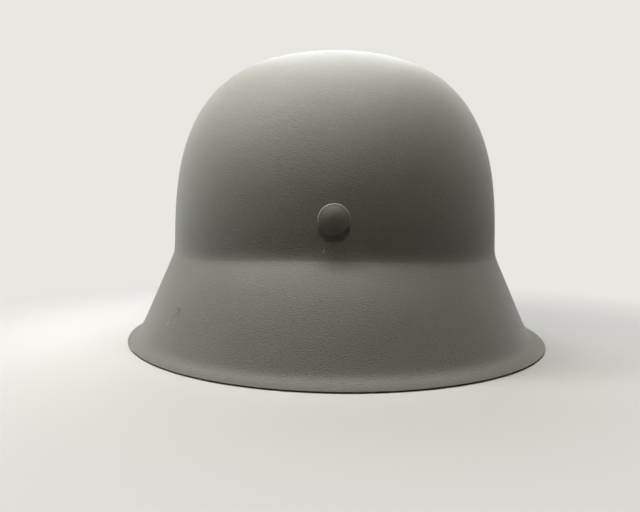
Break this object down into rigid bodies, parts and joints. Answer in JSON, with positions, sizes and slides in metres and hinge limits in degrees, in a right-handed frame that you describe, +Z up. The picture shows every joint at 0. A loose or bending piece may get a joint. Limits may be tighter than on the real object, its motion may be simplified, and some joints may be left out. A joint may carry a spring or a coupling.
{
  "type": "steel helmet",
  "caption": "Deep pressed-steel combat helmet with a flared raw rim, riveted sprung-band leather liner and a buckled chin strap on wire bails.",
  "frame": {"origin": "on the surface that the rim stands on, in the middle of the helmet's outline", "axes": "+Z up through the crown, -Y towards the visor, +Y towards the neck guard, +X towards the wearer's left"},
  "size_m": [0.2432, 0.2853, 0.1612],
  "materials": {
    "field_paint": "matte textured field grey-green paint on pressed steel",
    "zinc_plate": "dull zinc-plated steel",
    "band_steel": "galvanised steel strip",
    "spring_steel": "rolled spring steel",
    "wire_steel": "grey enamelled steel",
    "felt": "grey wool felt",
    "liner_leather": "vegetable-tanned brown leather",
    "lace_cord": "natural cotton lace",
    "strap_leather": "dark brown strap leather"
  },
  "bodies": {
    "helmet": {"shell": "field_paint", "rivet_rear": "field_paint", "rivet_left": "field_paint", "rivet_right": "field_paint", "washer_rear": "zinc_plate", "washer_left": "zinc_plate", "washer_right": "zinc_plate", "outer_band": "band_steel", "inner_band": "band_steel", "spring_front": "spring_steel", "spring_front_left": "spring_steel", "spring_front_right": "spring_steel", "spring_rear_left": "spring_steel", "spring_rear_right": "spring_steel", "spring_foot_rivets": "zinc_plate", "spring_middle_rivets": "zinc_plate", "bail_bracket_left": "wire_steel", "bail_bracket_right": "wire_steel", "bracket_rivets": "zinc_plate", "felt_strip": "felt", "leather_liner": "liner_leather", "leather_pins": "zinc_plate", "liner_lace": "lace_cord", "lace_knot": "lace_cord"},
    "left_bail": {"bail_left": "wire_steel"},
    "right_bail": {"bail_right": "wire_steel"},
    "long_strap": {"chin_strap_long": "strap_leather", "strap_stud_long": "zinc_plate"},
    "short_strap": {"chin_strap_short": "strap_leather", "strap_stud_short": "zinc_plate"},
    "buckle": {"buckle_frame": "wire_steel"},
    "prong": {"buckle_prong": "wire_steel"},
    "roller": {"buckle_roller": "zinc_plate"}
  },
  "joints": [
    {"name": "left_bail_swing", "type": "hinge", "parent": "helmet", "child": "left_bail", "pos_m": [0.08915, 0, 0.052], "axis": [0, 1, 0], "range_deg": [-10, 40]},
    {"name": "right_bail_swing", "type": "hinge", "parent": "helmet", "child": "right_bail", "pos_m": [-0.08915, 0, 0.052], "axis": [0, -1, 0], "range_deg": [-10, 40]},
    {"name": "long_strap_swing", "type": "hinge", "parent": "left_bail", "child": "long_strap", "pos_m": [0.08915, 0, 0.041], "axis": [0, 1, 0], "range_deg": [-8, 45]},
    {"name": "short_strap_swing", "type": "hinge", "parent": "right_bail", "child": "short_strap", "pos_m": [-0.08915, 0, 0.041], "axis": [0, -1, 0], "range_deg": [-8, 45]},
    {"name": "buckle_swing", "type": "hinge", "parent": "short_strap", "child": "buckle", "pos_m": [-0.0372, 0, 0.00325], "axis": [0, -1, 0], "range_deg": [-20, 60]},
    {"name": "prong_lift", "type": "hinge", "parent": "buckle", "child": "prong", "pos_m": [-0.0372, 0, 0.00325], "axis": [0, -1, 0], "range_deg": [0, 75]},
    {"name": "roller_spin", "type": "hinge", "parent": "buckle", "child": "roller", "pos_m": [-0.0202, 0, 0.00325], "axis": [0, 1, 0], "continuous": true}
  ]
}
